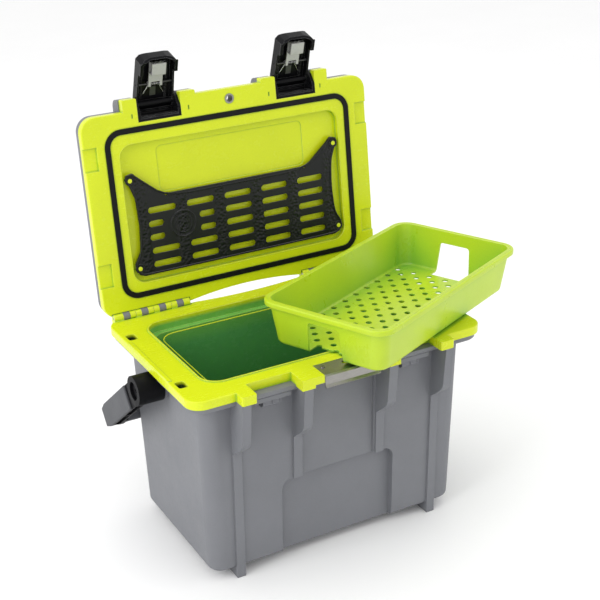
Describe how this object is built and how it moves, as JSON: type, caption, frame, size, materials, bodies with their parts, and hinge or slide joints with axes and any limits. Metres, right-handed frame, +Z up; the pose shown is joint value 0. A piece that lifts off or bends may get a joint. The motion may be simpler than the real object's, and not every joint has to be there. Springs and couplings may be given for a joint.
{
  "type": "cooler chest",
  "caption": "Small hard-sided cooler chest with a hinged latching lid, swinging carry handle and lift-out perforated tray.",
  "frame": {"origin": "centre of the base, on the surface that the chest stands on", "axes": "X along the length, -Y to the front where the latches are, +Z up; the lid stands open as at rest"},
  "size_m": [0.5901, 0.4269, 0.6747],
  "materials": {
    "shell_grey": "matte",
    "lime": "satin",
    "tray_lime": "satin",
    "foam": "matte",
    "steel": "satin",
    "spring_steel": "polished",
    "hook_zinc": "satin",
    "hub_black": "gloss",
    "latch_black": "gloss",
    "panel_black": "satin",
    "pad_grey": "matte",
    "gasket": "matte"
  },
  "bodies": {
    "chest": {"outer_shell": "shell_grey", "foam_core": "foam", "liner": "lime", "hinge_knuckles_left": "shell_grey", "hinge_pin_left": "steel", "hinge_knuckles_right": "shell_grey", "hinge_pin_right": "steel", "latch_keeper_left": "shell_grey", "latch_keeper_right": "shell_grey", "lock_plate": "steel", "lock_plate_screws": "steel", "handle_post_left": "shell_grey", "handle_bolt_left": "hub_black", "handle_post_right": "shell_grey", "handle_bolt_right": "hub_black"},
    "lid": {"lid_shell": "shell_grey", "lid_foam": "foam", "lid_pan": "lime", "lid_gasket": "gasket", "lock_eyelet": "steel", "storage_panel": "panel_black", "panel_rivets": "lime", "latch_bracket_left": "latch_black", "latch_pin_left": "steel", "latch_bracket_right": "latch_black", "latch_pin_right": "steel"},
    "handle": {"handle_arm_left": "hub_black", "handle_arm_pad_left": "pad_grey", "handle_arm_right": "hub_black", "handle_arm_pad_right": "pad_grey", "handle_grip": "pad_grey"},
    "tray": {"tray": "tray_lime"},
    "latch_left": {"latch_body_left": "latch_black", "hook_pin_left": "steel", "latch_spring_left": "spring_steel"},
    "hook_left": {"latch_hook_left": "hook_zinc"},
    "latch_right": {"latch_body_right": "latch_black", "hook_pin_right": "steel", "latch_spring_right": "spring_steel"},
    "hook_right": {"latch_hook_right": "hook_zinc"}
  },
  "joints": [
    {"name": "lid_hinge", "type": "hinge", "parent": "chest", "child": "lid", "pos_m": [0, 0.1465, 0.3056], "axis": [1, 0, 0], "range_deg": [0, 96.4]},
    {"name": "handle_swing", "type": "hinge", "parent": "chest", "child": "handle", "pos_m": [0, 0, 0.2626], "axis": [1, 0, 0], "range_deg": [0, 42]},
    {"name": "tray_slide", "type": "slide", "parent": "chest", "child": "tray", "axis": [0, -1, 0], "range_m": [0, 0.41]},
    {"name": "latch_left_swing", "type": "hinge", "parent": "lid", "child": "latch_left", "pos_m": [-0.11, 0.19612, 0.5999], "axis": [1, 0, 0], "range_deg": [0, 67.5]},
    {"name": "hook_left_snap", "type": "hinge", "parent": "latch_left", "child": "hook_left", "pos_m": [-0.11, 0.18972, 0.62928], "axis": [-1, 0, 0], "range_deg": [0, 10], "stiffness_Nm_per_rad": 0.08},
    {"name": "latch_right_swing", "type": "hinge", "parent": "lid", "child": "latch_right", "pos_m": [0.11, 0.19612, 0.5999], "axis": [1, 0, 0], "range_deg": [0, 67.5]},
    {"name": "hook_right_snap", "type": "hinge", "parent": "latch_right", "child": "hook_right", "pos_m": [0.11, 0.18972, 0.62928], "axis": [-1, 0, 0], "range_deg": [0, 10], "stiffness_Nm_per_rad": 0.08}
  ],
  "couplings": [
    {"joint": "tray_slide", "follows": "lid_hinge", "m_per_rad": 0.2436}
  ]
}
